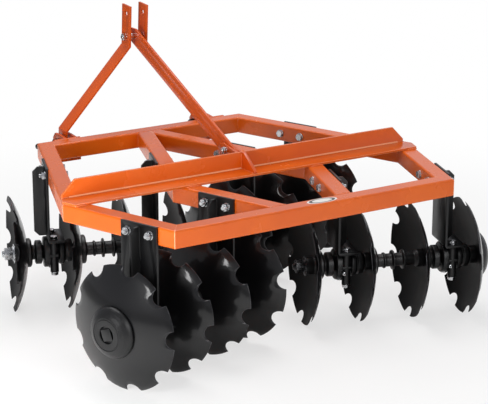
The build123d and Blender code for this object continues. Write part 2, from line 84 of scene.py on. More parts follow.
# gang: x and y of its line at the outer beam face, turn about Z, clamped disc's hub, and way along the line
gang_table = {
    "front": dict(at=joint_at["front_left_gang_turn"], turn=-slant_deg, hub=-77 * MM, way=1),
    "rear": dict(at=joint_at["rear_left_gang_turn"], turn=slant_deg, hub=434 * MM, way=-1),
}
gangs = [(row, side) for row in gang_table for side in ("left", "right")]


def along_gang(points, row, side, beam=False):
    """Points of a gang part in the row frame. The part is drawn on its own line: x from the clamped disc's hub
    towards the rounded sides, z up. With beam, x is measured from the outer beam face instead.
    Formula: reverse x and y for a rear gang, turn about Z by the gang's slant, shift, and mirror for the right."""
    g = gang_table[row]
    p = np.array(points, float)
    if not beam:
        p[:, 0] = g["hub"] + g["way"] * p[:, 0]
        p[:, 1] = g["way"] * p[:, 1]
    a = radians(g["turn"])
    x, y = p[:, 0] * cos(a) - p[:, 1] * sin(a), p[:, 0] * sin(a) + p[:, 1] * cos(a)
    p[:, 0], p[:, 1], p[:, 2] = x + g["at"][0], y + g["at"][1], p[:, 2] + axle_z
    if side == "right":
        p[:, 0] *= -1
    return p


def rolled(points, degrees):
    """Points turned about the x axis: (y cos a - z sin a, y sin a + z cos a)."""
    a = radians(degrees)
    x, y, z = np.asarray(points, float).T
    return np.stack([x, y * cos(a) - z * sin(a), y * sin(a) + z * cos(a)], 1)


# %% [markdown]
# ## Colours and shader nodes
# Paint is chosen in sRGB, while Blender's shaders work in linear light, so one function turns a hex value
# into the linear numbers. A second small function adds a shader node with its settings and its links, which keeps
# each material readable as a list of what it is made of.

# %% Colour and node helpers
def hex_linear(code):
    """sRGB hex to linear: c / 12.92 below 0.04045, else ((c + 0.055) / 1.055) to the power 2.4."""
    c = np.array([int(code[i:i + 2], 16) for i in (1, 3, 5)]) / 255
    lin = np.where(c <= 0.04045, c / 12.92, ((c + 0.055) / 1.055) ** 2.4)
    return (*[float(v) for v in lin], 1.0)


def add_node(tree, kind, settings=None, **links):
    """Adds one node; kind is its type without the leading ShaderNode. settings are its properties. links give an
    input, by its name or as i and its number, a value or another socket."""
    node = tree.nodes.new("ShaderNode" + kind)
    for key, value in (settings or {}).items():
        setattr(node, key, value)
    for key, value in links.items():
        by_number = key[0] == "i" and key[1:].isdigit()
        socket = node.inputs[int(key[1:]) if by_number else key.replace("_", " ")]
        if isinstance(value, bpy.types.NodeSocket):
            tree.links.new(value, socket)
        else:
            socket.default_value = value
    return node


def blank_material(name):
    """A material with an empty node tree, its output node, and Object coordinates to draw patterns on."""
    m = bpy.data.materials.new(name)
    m.use_nodes = True
    m.node_tree.nodes.clear()
    out = add_node(m.node_tree, "OutputMaterial")
    where = add_node(m.node_tree, "TexCoord").outputs["Object"]
    return m, m.node_tree, out, where


# %% [markdown]
# ## Orange stoving enamel
# The frame is sprayed with a glossy alkyd enamel over welded, slightly rough steel. Up close such paint has a soft
# orange-peel ripple about 2 mm across, and a few paler flecks lie in it. Along every edge the paint is mixed towards
# a light tone: a painted highlight for the light that the edges catch. It is glossy enough that the upper faces
# mirror the bright backdrop and look pale. The flat bars get the same recipe in a slightly deeper tone, which is
# painted shade, with hardly any painted highlight at the edges: on a bar only 8 mm thick the highlights of both
# edges would run together and turn to grain.

# %% Orange enamel
def enamel(name, base, deep, fleck_and_highlight_tone, rough, edge_highlight, peel=0.12, level=0.5, coat=0.0):
    """Sprayed enamel: a mix of two close tones by broad noise, paler flecks by fine noise, a 2 mm ripple in the
    bump, and roughness that wanders a little. Where a normal averaged over 3.4 mm leaves the surface's own, there
    is an edge, and the paint there is mixed towards its light tone, up to the given edge strength, as a painted
    highlight. A clear coat can lie on top."""
    m, t, out, where = blank_material(name)
    broad = add_node(t, "TexNoise", Vector=where, Scale=5.0, Detail=4.0, Roughness=0.55)
    tone = add_node(t, "ValToRGB", Fac=broad.outputs["Fac"])
    for stop, at, code in zip(tone.color_ramp.elements, (0.32, 0.68), (deep, base)):
        stop.position, stop.color = at, hex_linear(code)
    fleck = add_node(t, "TexNoise", Vector=where, Scale=260.0, Detail=3.0, Roughness=0.7)
    dust = add_node(t, "MapRange", Value=fleck.outputs["Fac"], From_Min=0.62, From_Max=0.78,
                    To_Min=0.0, To_Max=0.10)
    mixed = add_node(t, "Mix", {"data_type": "RGBA"}, i0=dust.outputs["Result"],
                     i6=tone.outputs["Color"], i7=hex_linear(fleck_and_highlight_tone))
    mean = add_node(t, "Bevel", {"samples": 6}, Radius=0.0034)
    own = add_node(t, "NewGeometry")
    agree = add_node(t, "VectorMath", {"operation": "DOT_PRODUCT"}, i0=mean.outputs["Normal"],
                     i1=own.outputs["Normal"])
    edge = add_node(t, "MapRange", Value=agree.outputs["Value"], From_Min=0.88, From_Max=0.99,
                    To_Min=edge_highlight, To_Max=0.0)
    # painted highlight: the paint along the edges is mixed towards the light tone
    painted_edge_highlight = add_node(t, "Mix", {"data_type": "RGBA"}, i0=edge.outputs["Result"], i6=mixed.outputs[2],
                    i7=hex_linear(fleck_and_highlight_tone))
    wander = add_node(t, "MapRange", Value=broad.outputs["Fac"], From_Min=0.3, From_Max=0.7,
                      To_Min=rough - 0.05, To_Max=rough + 0.07)
    skin = add_node(t, "TexNoise", Vector=where, Scale=480.0, Detail=2.0, Roughness=0.5)
    ripple = add_node(t, "Bump", Strength=peel, Distance=0.0006, Height=skin.outputs["Fac"])
    paint = add_node(t, "BsdfPrincipled", Base_Color=painted_edge_highlight.outputs[2], Roughness=wander.outputs["Result"],
                     Normal=ripple.outputs["Normal"], IOR=1.5, Specular_IOR_Level=level, Coat_Weight=coat,
                     Coat_Roughness=0.09)
    t.links.new(paint.outputs[0], out.inputs[0])
    return m


orange_paint = enamel("orange_stoving_enamel", "#DF6412", "#D5590E", "#FFC294", 0.24, 0.85)
# the flat bars' deeper tone is painted shade: it darkens them against the rest of the frame
bar_paint = enamel("orange_enamel_on_flat_bar", "#D4560F", "#CA4E0C", "#F0A070", 0.26, 0.1, peel=0.05)

# %% [markdown]
# ## Black paint on pressed and cast parts
# Discs, hangers and castings are dipped in a thin black paint. On the pressed discs it lies smooth and glossy: a
# dull layer under a clear one gives a crisp reflection with a soft glow round it. Inside the dish and on the
# hangers it is duller, and on the castings it follows the grain of the sand mould, about 1.5 mm wide.

# %% Black paints and painted casting
# in these black enamels the light tone gives both the flecks and a painted highlight along the edges
disc_paint = enamel("black_gloss_disc_paint", "#08080A", "#060607", "#4A4A50", 0.36, 0.6, peel=0.03,
                    level=0.3, coat=0.55)
plate_paint = enamel("black_satin_plate_paint", "#0B0B0C", "#070708", "#2A2A2C", 0.34, 0.5, peel=0.08)
hollow_paint = enamel("black_dull_paint_inside_dish", "#08080A", "#050506", "#3A3A3E", 0.42, 0.6, peel=0.05,
                      level=0.15)


def casting(name, base, deep, rough):
    """Painted sand casting: Voronoi cells 1.5 mm wide as the grain in the bump, over broad changes of tone."""
    m, t, out, where = blank_material(name)
    broad = add_node(t, "TexNoise", Vector=where, Scale=22.0, Detail=5.0, Roughness=0.6)
    tone = add_node(t, "ValToRGB", Fac=broad.outputs["Fac"])
    for stop, at, code in zip(tone.color_ramp.elements, (0.35, 0.7), (deep, base)):
        stop.position, stop.color = at, hex_linear(code)
    grain = add_node(t, "TexVoronoi", {"feature": "SMOOTH_F1"}, Vector=where, Scale=650.0)
    lump = add_node(t, "TexNoise", Vector=where, Scale=90.0, Detail=3.0)
    both = add_node(t, "Math", {"operation": "ADD"}, i0=grain.outputs["Distance"], i1=lump.outputs["Fac"])
    bump = add_node(t, "Bump", Strength=0.45, Distance=0.0008, Height=both.outputs[0])
    skin = add_node(t, "BsdfPrincipled", Base_Color=tone.outputs["Color"], Roughness=rough,
                    Normal=bump.outputs["Normal"], IOR=1.5)
    t.links.new(skin.outputs[0], out.inputs[0])
    return m


cast_paint = casting("black_paint_on_cast_iron", "#101011", "#09090A", 0.36)

# %% [markdown]
# ## Bare and plated steel
# Bolts and washers are zinc plated: a bright metal with faint cloudy patches a few millimetres across. The link
# pins are turned from dark steel and wiped with oil, and a disc's ground edge is steel worn dull by handling.

# %% Zinc plate, worn edges and dark turned steel
def metal(name, base, deep, low, high, scale):
    """Metal with cloudy patches: noise mixes two tones and sets the roughness between low and high."""
    m, t, out, where = blank_material(name)
    cloud = add_node(t, "TexNoise", Vector=where, Scale=scale, Detail=5.0, Roughness=0.6)
    tone = add_node(t, "ValToRGB", Fac=cloud.outputs["Fac"])
    for stop, at, code in zip(tone.color_ramp.elements, (0.3, 0.7), (deep, base)):
        stop.position, stop.color = at, hex_linear(code)
    rough = add_node(t, "MapRange", Value=cloud.outputs["Fac"], From_Min=0.3, From_Max=0.7,
                     To_Min=low, To_Max=high)
    fine = add_node(t, "TexNoise", Vector=where, Scale=900.0, Detail=2.0)
    bump = add_node(t, "Bump", Strength=0.15, Distance=0.0003, Height=fine.outputs["Fac"])
    shine = add_node(t, "BsdfPrincipled", Base_Color=tone.outputs["Color"], Metallic=1.0,
                     Roughness=rough.outputs["Result"], Normal=bump.outputs["Normal"])
    t.links.new(shine.outputs[0], out.inputs[0])
    return m


zinc = metal("bright_zinc_plate", "#E6E7E8", "#BFC1C4", 0.16, 0.34, 160.0)
edge_steel = metal("worn_edge_steel", "#5C5C5E", "#1E1E20", 0.30, 0.50, 60.0)
dark_steel = metal("dark_oiled_steel", "#6A6A6C", "#38383A", 0.2, 0.36, 120.0)

slot_paint = {"orange_enamel": orange_paint, "black_enamel": plate_paint, "zinc_plate": zinc,
              "dark_steel": dark_steel}
slots = {s["node"]: s["material_slot"] for s in frame["record"]["subparts"]}
for node_name, obj in frame["nodes"].items():
    finish = slot_paint[slots[node_name]]
    if node_name.startswith(("spools_", "bearing_", "end_fittings_")):
        finish = cast_paint
    if node_name.startswith("discs_"):
        finish = disc_paint
    if not obj.material_slots:
        obj.data.materials.append(finish)
    for place in obj.material_slots:
        place.material = finish
print("painted", len(frame["nodes"]), "CAD nodes")

# %% [markdown]
# ## Eased edges on the flat bars and plates
# A sheared or sawn edge is never knife sharp: it is broken by a grinder before painting, and that narrow slope is
# what catches the light along every plate. The CAD plates have plain corners, so each gets a copy whose triangles
# are joined into flat faces, and a Bevel modifier then cuts its edges by a millimetre or two.

# %% Eased copies of the flat nodes
bar_nodes = ("mast_", "hitch_", "cross_angle_lugs")


def eased(node_name, width):
    """Copy of a CAD node with its doubles merged, its coplanar triangles joined, and every edge sharper than
    40 degrees bevelled by width in two steps. The normals of the flats stay flat."""
    mesh = frame["nodes"][node_name].data.copy()
    bm = bmesh.new(); bm.from_mesh(mesh)
    bmesh.ops.remove_doubles(bm, verts=bm.verts, dist=1e-5)
    bmesh.ops.dissolve_limit(bm, angle_limit=radians(0.8), verts=bm.verts, edges=bm.edges)
    bm.to_mesh(mesh); bm.free()
    mesh.shade_smooth()
    mesh.name = node_name + "_eased"
    if node_name.startswith(bar_nodes):
        mesh.materials.clear()
        mesh.materials.append(bar_paint)
    obj = bpy.data.objects.new(node_name + "_eased", mesh)
    show_in_scene(obj)
    edge = obj.modifiers.new("eased_edges", "BEVEL")
    edge.width, edge.segments, edge.limit_method, edge.angle_limit = width, 2, "ANGLE", radians(40)
    edge.harden_normals = True
    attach(obj, "frame"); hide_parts(node_name)
    return len(mesh.polygons)


flat_nodes = [n for n in sorted(frame["nodes"])
              if n.startswith(("hangers_", "cross_angle", "mast_leg_", "mast_brace", "hitch_bracket_"))]
print({n: eased(n, 1.2 * MM if n.startswith("hangers_") else 1.5 * MM) for n in flat_nodes})

# %% [markdown]
# ## From arrays to a mesh
# Every new piece is a set of grids: rows and columns of points worked out by numpy as whole arrays. Two grid
# neighbours make a quad, poles are points that fall together and are merged, and a signed volume tells whether
# the faces look outwards.

# %% Grid and mesh helpers
def grid_faces(rows, cols, loop_rows=False):
    """Quads of a grid whose columns close round: (row i, column j) with the next row and the next column."""
    i = np.arange(rows if loop_rows else rows - 1)
    a, b = (v.ravel() for v in np.meshgrid(i, np.arange(cols), indexing="ij"))
    a2, b2 = (a + 1) % rows, (b + 1) % cols
    return np.stack([a * cols + b, a * cols + b2, a2 * cols + b2, a2 * cols + b], 1)


def outward(points, quads):
    """Turns the faces round if the signed volume, a sum of v0 . (v1 x v2) over the triangles, is negative."""
    p = points - points.mean(0)
    q = p[quads]
    volume = (np.einsum("ij,ij->i", q[:, 0], np.cross(q[:, 1], q[:, 2]))
              + np.einsum("ij,ij->i", q[:, 0], np.cross(q[:, 2], q[:, 3]))).sum()
    return quads if volume > 0 else quads[:, ::-1]


def make_piece(name, parts, finish, body, sharp=32, more=()):
    """One object from many (points, quads) parts. Points that coincide at poles are merged and flat faces dropped.
    Edges sharper than the angle stay crisp. The piece rides on a CAD body. With more finishes, each part has a
    third array that gives the number of each quad's finish."""
    start = np.cumsum([0] + [len(part[0]) for part in parts])
    points = np.vstack([part[0] for part in parts])
    quads = np.vstack([outward(part[0], part[1]) + s for part, s in zip(parts, start)])
    mesh = bpy.data.meshes.new(name)
    mesh.vertices.add(len(points)); mesh.loops.add(quads.size); mesh.polygons.add(len(quads))
    mesh.vertices.foreach_set("co", points.ravel())
    mesh.loops.foreach_set("vertex_index", quads.ravel())
    mesh.polygons.foreach_set("loop_start", np.arange(len(quads)) * 4)
    if more:
        which = np.concatenate([part[2] for part in parts]).astype(np.int32)
        mesh.polygons.foreach_set("material_index", which)
    mesh.update(calc_edges=True)
    bm = bmesh.new(); bm.from_mesh(mesh)
    bmesh.ops.remove_doubles(bm, verts=bm.verts, dist=2e-6)
    bmesh.ops.dissolve_degenerate(bm, edges=bm.edges, dist=1e-6)
    bm.to_mesh(mesh); bm.free()
    mesh.shade_smooth()
    mesh.set_sharp_from_angle(angle=radians(sharp))
    for one in (finish, *more):
        mesh.materials.append(one)
    obj = bpy.data.objects.new(name, mesh)
    show_in_scene(obj)
    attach(obj, body)
    print(name, "parts", len(parts), "faces", len(mesh.polygons))
    return obj


def soften(corners, radius, steps=4):
    """Rounds the inner corners of an open line. Formula: each corner b becomes the quadratic curve
    (1-t)^2 s + 2t(1-t) b + t^2 e, with s and e at the radius's distance from b along its two sides."""
    p = np.asarray(corners, float)
    a, b, c = p[:-2], p[1:-1], p[2:]
    back, ahead = a - b, c - b
    lb, la = np.linalg.norm(back, axis=1)[:, None], np.linalg.norm(ahead, axis=1)[:, None]
    r = np.minimum(radius, 0.45 * np.minimum(lb, la))
    s, e = b + back / lb * r, b + ahead / la * r
    t = np.linspace(0, 1, steps + 1)[None, :, None]
    arc = (1 - t) ** 2 * s[:, None] + 2 * t * (1 - t) * b[:, None] + t ** 2 * e[:, None]
    return np.vstack([p[:1], arc.reshape(-1, p.shape[1]), p[-1:]])


def turned(profile, around=64, closed=False):
    """A turned part on the x axis. Formula: (x, r) and angle a give (x, r cos a, r sin a)."""
    x, r = np.asarray(profile, float).T
    a = 2 * pi * (np.arange(around) + 0.5) / around
    pts = np.stack([np.repeat(x[:, None], around, 1), r[:, None] * np.cos(a), r[:, None] * np.sin(a)], -1)
    return pts.reshape(-1, 3), grid_faces(len(x), around, closed)


# %% [markdown]
# ## The notched discs
# A disc is pressed from 4 mm boron steel into part of a sphere, and nine half-round notches are punched in its
# rim so that it bites into trash. The rounded side is glossy; inside the dish the paint lies duller. In the mesh
# each disc is a grid: the columns follow the outline of the rim, in and out of the notches, and the rows run from
# the hub to the rim on the rounded side and back on the hollow side. The last few millimetres of the rim are
# ground to an edge on the rounded side.

# %% Discs
dish_centre = ((disc_r ** 2 + dish ** 2) - hub_flat ** 2) / (2 * dish)
dish_sphere = np.hypot(dish_centre, hub_flat)


def dish_x(r, depth=0.0):
    """Where a sphere of the disc's radius, less a depth, stands at radius r from the shaft."""
    return np.sqrt((dish_sphere - depth) ** 2 - r ** 2) - dish_centre


def rim_outline(land=12, bite=22):
    """Angle and radius round the rim. Lands lie on the rim's circle; a notch is the part of a circle of notch_r,
    centred notch_sink outside the rim, that lies inside it. Angles come from atan2 of the notch circle's points."""
    centre = disc_r + notch_sink
    half = np.arccos((disc_r ** 2 + centre ** 2 - notch_r ** 2) / (2 * disc_r * centre))
    edge = np.arccos((centre ** 2 + notch_r ** 2 - disc_r ** 2) / (2 * centre * notch_r))
    turn_in = np.linspace(edge, -edge, bite)
    nx, ny = centre - notch_r * np.cos(turn_in), -notch_r * np.sin(turn_in)
    bite_a, bite_r = np.arctan2(ny, nx), np.hypot(nx, ny)
    step = 2 * pi / notches
    land_a = np.linspace(half, step - half, land + 2)[1:-1]
    one_a = np.concatenate([np.sort(bite_a), land_a])
    one_r = np.concatenate([bite_r[np.argsort(bite_a)], np.full(land, disc_r)])
    turns = np.arange(notches)[:, None] * step
    return (turns + one_a).ravel(), np.tile(one_r, notches)


def disc():
    """Rows: hub hole, flat seat, then radius r = hub + s (R(a) - 8 mm - hub) with s from 0 to 1, out on the
    rounded side and back on the hollow side. The ground edge takes the thickness from 4 mm to 1.2 mm over the last
    8 mm. The third array is 0 on the rounded side, 1 inside the dish, and 2 on the edge's lip, rubbed bare, 1.2 mm
    wide."""
    a, rim = rim_outline()
    s = np.linspace(0, 1, 13)
    full = lambda v: np.full_like(rim, v)
    grind, lip, edge_t, eye_r = 8 * MM, 1.2 * MM, 1.2 * MM, 18 * MM
    inner, tip = dish_x(rim - grind), dish_x(rim, disc_t - edge_t)
    rows = [(full(0), full(eye_r)), (full(0), full(hub_flat - 1 * MM))]
    for k in s:
        r = hub_flat + k * (rim - grind - hub_flat)
        rows.append((dish_x(r), r))
    rows.append((tip + (inner - tip) * lip / grind, rim - lip))
    rows.append((tip, rim))
    rows.append((dish_x(rim, disc_t), rim - 0.2 * MM))
    for k in s[::-1]:
        r = hub_flat + k * (rim - grind - hub_flat)
        rows.append((dish_x(r, disc_t), r))
    rows += [(full(-disc_t), full(hub_flat - 3 * MM)), (full(-disc_t), full(eye_r))]
    x, r = np.stack([v[0] for v in rows]), np.stack([v[1] for v in rows])
    pts = np.stack([x, r * np.cos(a), r * np.sin(a)], -1)
    row = np.arange(len(rows))
    part = np.where(row >= len(s) + 4, 1, np.where(row >= len(s) + 2, 2, 0))
    return pts.reshape(-1, 3), grid_faces(len(rows), len(a), loop_rows=True), np.repeat(part, len(a))


disc_points, disc_quads, disc_part = disc()
for row, side in gangs:
    parts = []
    for i, turns in enumerate(quarter_turns[f"{row}_{side}"]):
        p = rolled(disc_points, shaft_roll + 90 * turns) + [i * pitch, 0, 0]
        parts.append((along_gang(p, row, side), disc_quads, disc_part))
    piece = make_piece(f"notched_discs_{row}_{side}", parts, disc_paint, f"gang_{row}_{side}",
                       sharp=28, more=(hollow_paint, edge_steel))
    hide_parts(f"discs_{row}_{side}")

# %% [markdown]
# ## Ribbed spools
# Between the discs the shaft carries cast spools. Each presses a wide flange against a disc, and its ribs keep it
# light. They are turned profiles whose corners are softened, because a casting has no sharp edges.

# %% Spools
def ring_profile(pairs, hole=13 * MM):
    """Profile in millimetres as (x, radius) corners, softened by 2 mm, with both ends brought down to the hole
    round the shaft."""
    p = soften(np.array(pairs, float) * MM, 2 * MM, 3)
    return np.vstack([[[p[0, 0], hole]], p, [[p[-1, 0], hole]]])


# a flange of 51 mm radius against the disc, necks and ribs, and a collar of 31 mm against the next disc
bearing_spool = ring_profile([
    (0, 42), (0, 51), (11, 51), (16, 45), (18, 27), (26, 25), (28, 37), (31, 42), (49, 42), (52, 37), (53, 27),
    (55, 25), (57, 23), (160, 23), (163, 24), (163.5, 31), (186, 31), (186, 24)])
plain_spool = ring_profile([
    (0, 42), (0, 51), (12, 51), (16, 46), (18, 25), (22, 23), (42, 23), (44, 27.5), (50, 27.5), (52, 23), (72, 23),
    (75, 34), (81, 34), (84, 23), (109, 23), (112, 34), (118, 34), (121, 23), (154, 23), (162, 30), (165, 31),
    (186, 31), (186, 24)])
for row, side in gangs:
    parts = []
    for i, profile in ((0, bearing_spool), (1, plain_spool), (2, bearing_spool)):
        p, q = turned(profile, 56)
        parts.append((along_gang(p + [i * pitch, 0, 0], row, side), q))
    piece = make_piece(f"ribbed_spools_{row}_{side}", parts, cast_paint, f"gang_{row}_{side}",
                       sharp=40)
    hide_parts(f"spools_{row}_{side}")

# %% [markdown]
# ## Bearing housings
# Each gang hangs from two split housings. A housing is a run of rounded lobes round the shaft, with a column each
# side for the long bolts, and its two halves part along the level of the shaft. The lobes are one turned profile,
# the columns and the block between them are rounded boxes, and a grease nipple stands on the side.

# %% Housings
def rounded_box(low, high, radius, n=5):
    """A box with round edges. Formula: a sphere's point of direction d, scaled by the radius and pushed out to the
    corner block of the same signs; the poles close on the middle of the top and bottom faces."""
    low, high = np.array(low, float), np.array(high, float)
    half, mid = (high - low) / 2, (high + low) / 2
    quarter = np.linspace(0, pi / 2, n)
    a = np.concatenate([quarter + k * pi / 2 for k in range(4)])
    sx, sy = np.repeat([1, -1, -1, 1], n), np.repeat([1, 1, -1, -1], n)
    up = np.concatenate([np.linspace(-pi / 2, 0, n), np.linspace(0, pi / 2, n)])
    sz = np.repeat([-1, 1], n)
    inner = half - radius
    x = sx * inner[0] + radius * np.cos(up)[:, None] * np.cos(a)
    y = sy * inner[1] + radius * np.cos(up)[:, None] * np.sin(a)
    z = (sz * inner[2] + radius * np.sin(up))[:, None] + 0 * a
    ring = np.stack([x, y, z], -1)
    caps = [np.zeros_like(ring[:1]), np.zeros_like(ring[:1])]
    caps[0][..., 2], caps[1][..., 2] = -half[2], half[2]
    pts = np.concatenate([caps[0], ring, caps[1]])
    return pts.reshape(-1, 3) + mid, grid_faces(len(pts), len(a))


def upright(profile, around=32, at=(0, 0, 0)):
    """A turned part on a vertical axis: (z, r) and angle a give (r cos a, r sin a, z)."""
    p, q = turned(profile, around)
    return np.stack([p[:, 1], p[:, 2], p[:, 0]], 1) + np.array(at), q


lobes = soften(np.array([
    (57, 23), (57, 50), (60, 54), (78, 54), (81, 50), (83, 38), (85, 36), (107, 36), (109, 39), (111, 44), (114, 47),
    (126, 47), (129, 43), (131, 37), (134, 36), (136, 37), (139, 40), (155, 40), (158, 37), (158, 23)]) * MM,
    2.0 * MM, 3)


def housing():
    """Lobes, block, two bolt columns with their own lips, and the parting flange."""
    parts = [turned(lobes, 72)]
    c = column_at
    parts.append(rounded_box((c - 13 * MM, -44 * MM, -29 * MM), (c + 13 * MM, 44 * MM, 29 * MM), 5 * MM))
    parts.append(rounded_box((c - 17 * MM, -57 * MM, -5 * MM), (c + 17 * MM, 57 * MM, 5 * MM), 3 * MM))
    low, high = -housing_down / MM, housing_up / MM
    for y in (-42 * MM, 42 * MM):
        column = soften(np.array([
            (low, 9), (low, 15), (-38, 15), (-34, 15.3), (-8, 15), (8, 15), (34, 15.3), (high, 15), (high, 9)]) * MM,
            1.5 * MM, 3)
        parts.append(upright(column, 36, (c, y, 0)))
    return parts


nipple_line = soften(np.array([
    (0, 0.1), (0, 6), (6, 6), (6.5, 3.6), (11, 3.4), (12, 4.2), (15, 3.6), (17, 0.1)]) * MM, 0.6 * MM, 2)
p, q = turned(nipple_line, 20)
nipple = np.stack([p[:, 1] + column_at - 11 * MM, p[:, 0] + 55 * MM, p[:, 2] - 19 * MM], 1), q
for row, side in gangs:
    cast, plated = [], []
    for i in (0, 2):
        cast += [(along_gang(p + [i * pitch, 0, 0], row, side), q) for p, q in housing()]
        plated.append((along_gang(nipple[0] + [i * pitch, 0, 0], row, side), nipple[1]))
    piece = make_piece(f"split_housings_{row}_{side}", cast, cast_paint, "frame", sharp=38)
    make_piece(f"grease_nipples_{row}_{side}", plated, zinc, "frame", sharp=38)
    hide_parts(f"bearing_housings_{row}_{side}")

# %% [markdown]
# ## Gang ends
# The shaft is drawn tight at one end by a big nut over a washer, plated on the front gangs and oiled on the rear.
# On the rear gangs the other end is a cast dome that sits on the rounded side of the last disc: a wide lip, a
# round shoulder, and a raised boss in which the square end of the shaft shows between four small gaps. The front
# gangs end in a plain flange there.

# %% Nuts, washers, domes and shafts' ends
def hex_radius(a, across):
    """Distance from the axis to a hexagon's side at angle a: half the width across flats over cos of the angle
    from the nearest flat's middle."""
    return across / 2 / np.cos((a + pi / 6) % (pi / 3) - pi / 6)


def hexagon(height, across, around=48, both=False):
    """Hexagon head or nut along z with its corners cut by a 30 degree cone: r is the smaller of the hexagon and
    0.95 of half the flats plus the distance to the face over tan 30."""
    a = 2 * pi * np.arange(around) / around
    cut = 0.075 * across
    low = np.linspace(0, cut, 4) if both else [0.0]
    z = np.concatenate([[0, 0], low, np.linspace(height - cut, height, 5), [height]])
    lim_top = 0.475 * across + (height - z) / np.tan(radians(30))
    lim_low = 0.475 * across + z / np.tan(radians(30)) if both else np.full_like(z, 9.0)
    r = np.minimum(hex_radius(a, across)[None], np.minimum(lim_top, lim_low)[:, None])
    r[0], r[-1] = 0, 0
    if not both:
        r[1] = hex_radius(a, across)
    pts = np.stack([r * np.cos(a), r * np.sin(a), z[:, None] + 0 * a], -1)
    return pts.reshape(-1, 3), grid_faces(len(z), around)


def thread(length, radius, step, around=28, rows_per_turn=4):
    """Threaded end along z, over a cone tip. Formula: r = radius less 0.55 step times a triangle wave of
    (z / step - a / turn)."""
    a = 2 * pi * np.arange(around) / around
    z = np.linspace(0, length, int(length / step * rows_per_turn) + 1)
    wave = np.abs(((z[:, None] / step - a[None] / (2 * pi)) % 1) * 2 - 1)
    r = radius - 0.55 * step * wave
    r = np.minimum(r, (radius - step + (length - z))[:, None])
    pts = np.stack([r * np.cos(a), r * np.sin(a), z[:, None] + 0 * a], -1)
    low, high = np.zeros_like(pts[:1]), np.zeros_like(pts[:1])
    high[..., 2] = length
    pts = np.concatenate([low, pts, high])
    return pts.reshape(-1, 3), grid_faces(len(pts), around)


def washer(outer, thick, at=0.0, around=40):
    """Flat washer along z from at, with slightly rounded rims."""
    prof = soften([(at, 0.001), (at, outer), (at + thick, outer), (at + thick, 0.001)], 0.0008, 2)
    return upright(prof, around)


def to_x(part, at=(0, 0, 0), back=False, roll=0.0):
    """Lays a part drawn along z on the x axis, or on -x, turned about it by roll, and shifts it."""
    p, q = part
    x = -p[:, 2] if back else p[:, 2]
    y = p[:, 0] * cos(roll) - p[:, 1] * sin(roll)
    z = p[:, 0] * sin(roll) + p[:, 1] * cos(roll)
    return np.stack([x, y, z], 1) + np.array(at), q


def square_bar(x0, x1, side_len, edge=2 * MM):
    """A square bar along the x axis, as a box with its edges rounded."""
    h = side_len / 2
    return rounded_box((x0, -h, -h), (x1, h, h), edge, 3)


dome_lip = dish_x(82 * MM) / MM + 1.0
dome = soften(np.array([
    (2, 20), (2, 54), (dome_lip, 81.5), (dome_lip + 1.5, 83.6), (3.5, 83.6), (9.5, 81), (15, 77), (23.5, 66.5),
    (28.3, 57), (30, 52.6), (28.2, 51), (28.2, 49), (30, 47.6), (30, 29.4), (28.6, 27.4), (21, 27.4),
    (21, 20)]) * MM, 1.6 * MM, 4)
clamp_boss = ring_profile([(-38, 24), (-38, 29), (-35, 31), (-12, 31), (-8, 33), (0, 33), (0, 24)])
plain_flange = ring_profile([(0, 44), (0, 51), (13, 51), (16, 48), (16, 24)])
shaft_side, head_side, boss_long = 25 * MM, 38 * MM, 38 * MM
clamp_x = -disc_t
last_hub = (discs_per_gang - 1) * pitch
for row, side in gangs:
    cast = [turned(clamp_boss + [clamp_x, 0], 56)]
    if row == "rear":
        cast.append(turned(dome + [last_hub, 0], 96, closed=True))
    else:
        cast.append(turned(plain_flange + [last_hub, 0], 56))
    cast = [(along_gang(p, row, side), q) for p, q in cast]
    body = f"gang_{row}_{side}"
    ends = make_piece(f"gang_end_castings_{row}_{side}", cast, cast_paint, body, sharp=38)
    x = clamp_x - boss_long
    plated = [to_x(washer(34 * MM, 3.4 * MM), (x, 0, 0), back=True),
              to_x(washer(27 * MM, 3.4 * MM, 3.5 * MM), (x, 0, 0), back=True),
              to_x(hexagon(29 * MM, 41 * MM, 60, both=True), (x - 7 * MM, 0, 0), back=True, roll=0.3),
              to_x(thread(44 * MM, 12 * MM, 3 * MM), (x, 0, 0), back=True)]
    plated = [(along_gang(p, row, side), q) for p, q in plated]
    skin, slot = (dark_steel, "dark_steel") if row == "rear" else (zinc, "zinc_plate")
    nut = make_piece(f"gang_clamp_nut_{row}_{side}", plated, skin, body, sharp=30)
    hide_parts(f"end_fittings_{row}_{side}")
    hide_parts(f"end_fittings_{row}_{side}")
    far = last_hub + (21 * MM if row == "rear" else 20 * MM)
    bar = [square_bar(-40 * MM, far, shaft_side)]
    if row == "rear":
        bar.append(square_bar(far, far + 8 * MM, head_side, 1.5 * MM))
    bar = [(along_gang(rolled(p, shaft_roll), row, side), q) for p, q in bar]
    shaft = make_piece(f"square_shaft_{row}_{side}", bar, plate_paint, body, sharp=30)
    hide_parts(f"shaft_{row}_{side}")

# %% [markdown]
# ## Bolts of the hangers
# Two bolts clamp each hanger's plate through the square tube, and two long ones clamp each housing under the
# hanger's foot. All are 16 mm bolts with 24 mm hexagons, plated bright, so they catch the light against the
# black. One function draws head, washers, nut and threaded end, and its bolts are placed thirty-two times.

# %% Hanger bolts
bolt_r, flats = 8 * MM, 24 * MM


def bolt(grip, past, wide=15 * MM):
    """Bolt along z: head above z = grip, nut under z = 0, its end past the nut. Each stands on a washer, wide in
    radius."""
    w = 2.4 * MM
    parts = []
    p, q = hexagon(10 * MM - w + 0.2 * MM, flats)
    parts.append((p + [0, 0, grip + w], q))
    parts.append(washer(wide, w, grip))
    p, q = washer(wide, w, 0)
    parts.append((p * [1, 1, -1], q))
    p, q = hexagon(10.4 * MM, flats, both=True)
    parts.append((p * [1, 1, -1] + [0, 0, -w], q))
    p, q = thread(12.8 * MM + past, bolt_r, 2.2 * MM)
    parts.append((p * [1, 1, -1], q))
    return parts


